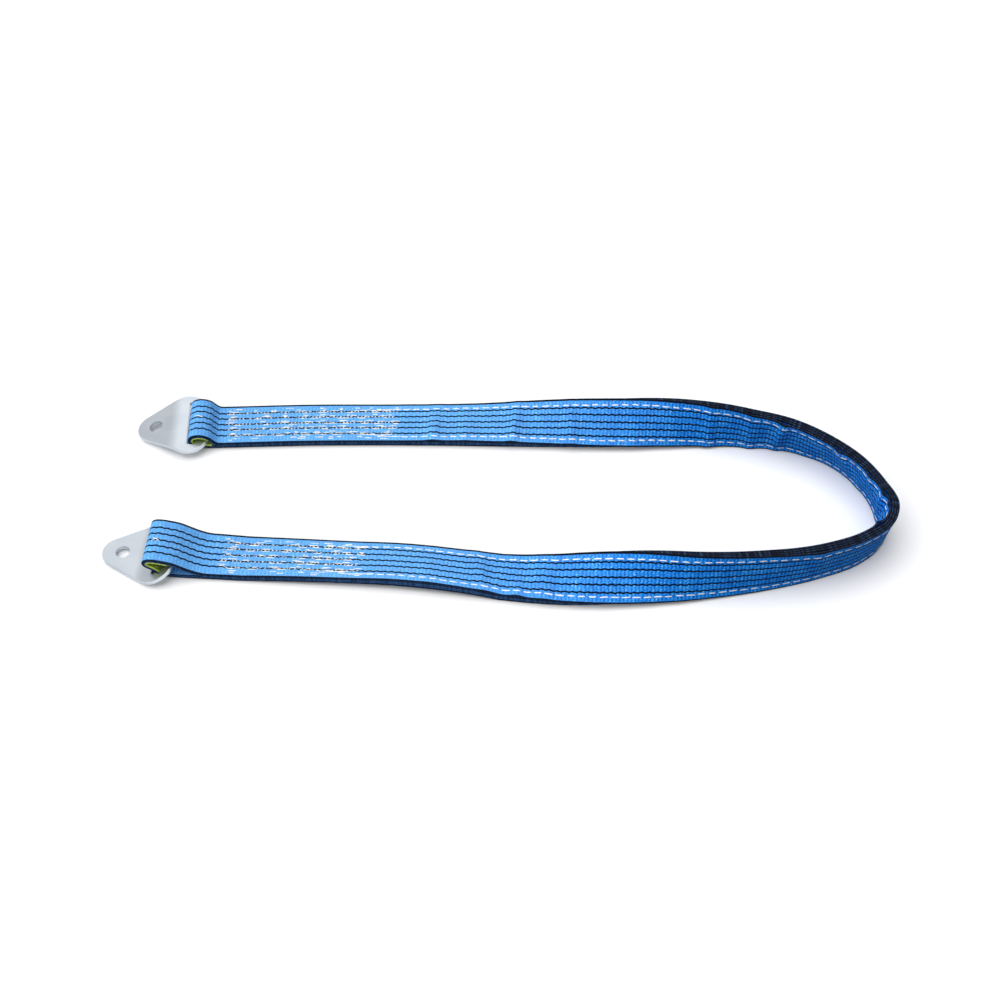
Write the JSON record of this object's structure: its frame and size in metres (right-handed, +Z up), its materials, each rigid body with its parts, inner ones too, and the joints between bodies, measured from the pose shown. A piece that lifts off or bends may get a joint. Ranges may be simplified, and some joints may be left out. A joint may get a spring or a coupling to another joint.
{
  "type": "flat web sling",
  "caption": "Flat web sling laid in a U with half a twist: multi-ply blue webbing, a sewn and lined eye at each end, and a pair of cranked steel end plates with a bolt hole in each eye.",
  "frame": {"origin": "middle of the foot print, on the floor", "axes": "+X from the end plates to the bight, +Y towards the far leg, +Z up"},
  "size_m": [0.7664, 0.2614, 0.0509],
  "materials": {
    "sling_webbing": "woven polyester, dark selvages and fine tracer lines",
    "seam_thread": "sewing thread",
    "lap_thread": "sewing thread",
    "liner_webbing": "coarse woven wear webbing",
    "zinc_plated_steel": "satin zinc plate"
  },
  "bodies": {
    "far_half": {"far_ply_1": "sling_webbing", "far_ply_2": "sling_webbing", "far_ply_3": "sling_webbing", "far_ply_4": "sling_webbing", "far_inner_seams": "seam_thread", "far_outer_seams": "seam_thread", "far_inner_lap_stitching": "lap_thread", "far_outer_lap_stitching": "lap_thread"},
    "near_half": {"near_ply_1": "sling_webbing", "near_ply_2": "sling_webbing", "near_ply_3": "sling_webbing", "near_ply_4": "sling_webbing", "near_inner_seams": "seam_thread", "near_outer_seams": "seam_thread", "near_inner_lap_stitching": "lap_thread", "near_outer_lap_stitching": "lap_thread"},
    "far_eye": {"far_eye_outer_loop": "sling_webbing", "far_eye_inner_loop": "sling_webbing", "far_eye_liner": "liner_webbing"},
    "near_eye": {"near_eye_outer_loop": "sling_webbing", "near_eye_inner_loop": "sling_webbing", "near_eye_liner": "liner_webbing"},
    "far_lower_plate": {"far_lower_plate": "zinc_plated_steel"},
    "far_upper_plate": {"far_upper_plate": "zinc_plated_steel"},
    "near_plates": {"near_lower_plate": "zinc_plated_steel", "near_upper_plate": "zinc_plated_steel"}
  },
  "joints": [
    {"name": "bight_flex", "type": "hinge", "parent": "far_half", "child": "near_half", "pos_m": [0.38351, -0.03898, 0.025], "axis": [0, 0, 1], "range_deg": [0, 25]},
    {"name": "far_eye_flex", "type": "hinge", "parent": "far_half", "child": "far_eye", "pos_m": [-0.28676, 0.09677, 0.00902], "axis": [-0.034, 0.997, 0.0698], "range_deg": [0, 60]},
    {"name": "near_eye_flex", "type": "hinge", "parent": "near_half", "child": "near_eye", "pos_m": [-0.27177, -0.07211, 0.00816], "axis": [0.0607, 0.9975, 0.0349], "range_deg": [0, 60]},
    {"name": "far_plates_swing", "type": "hinge", "parent": "far_eye", "child": "far_lower_plate", "pos_m": [-0.30574, 0.09592, 0.01201], "axis": [-0.034, 0.997, 0.0698], "range_deg": [0, 8]},
    {"name": "far_plates_fan", "type": "hinge", "parent": "far_lower_plate", "child": "far_upper_plate", "pos_m": [-0.29995, 0.09617, 0.01127], "axis": [-0.034, 0.997, 0.0698], "range_deg": [0, 8]},
    {"name": "near_plates_swing", "type": "hinge", "parent": "near_eye", "child": "near_plates", "pos_m": [-0.32099, -0.06922, 0.01136], "axis": [0.0607, 0.9975, 0.0349], "range_deg": [-12, 0]}
  ]
}
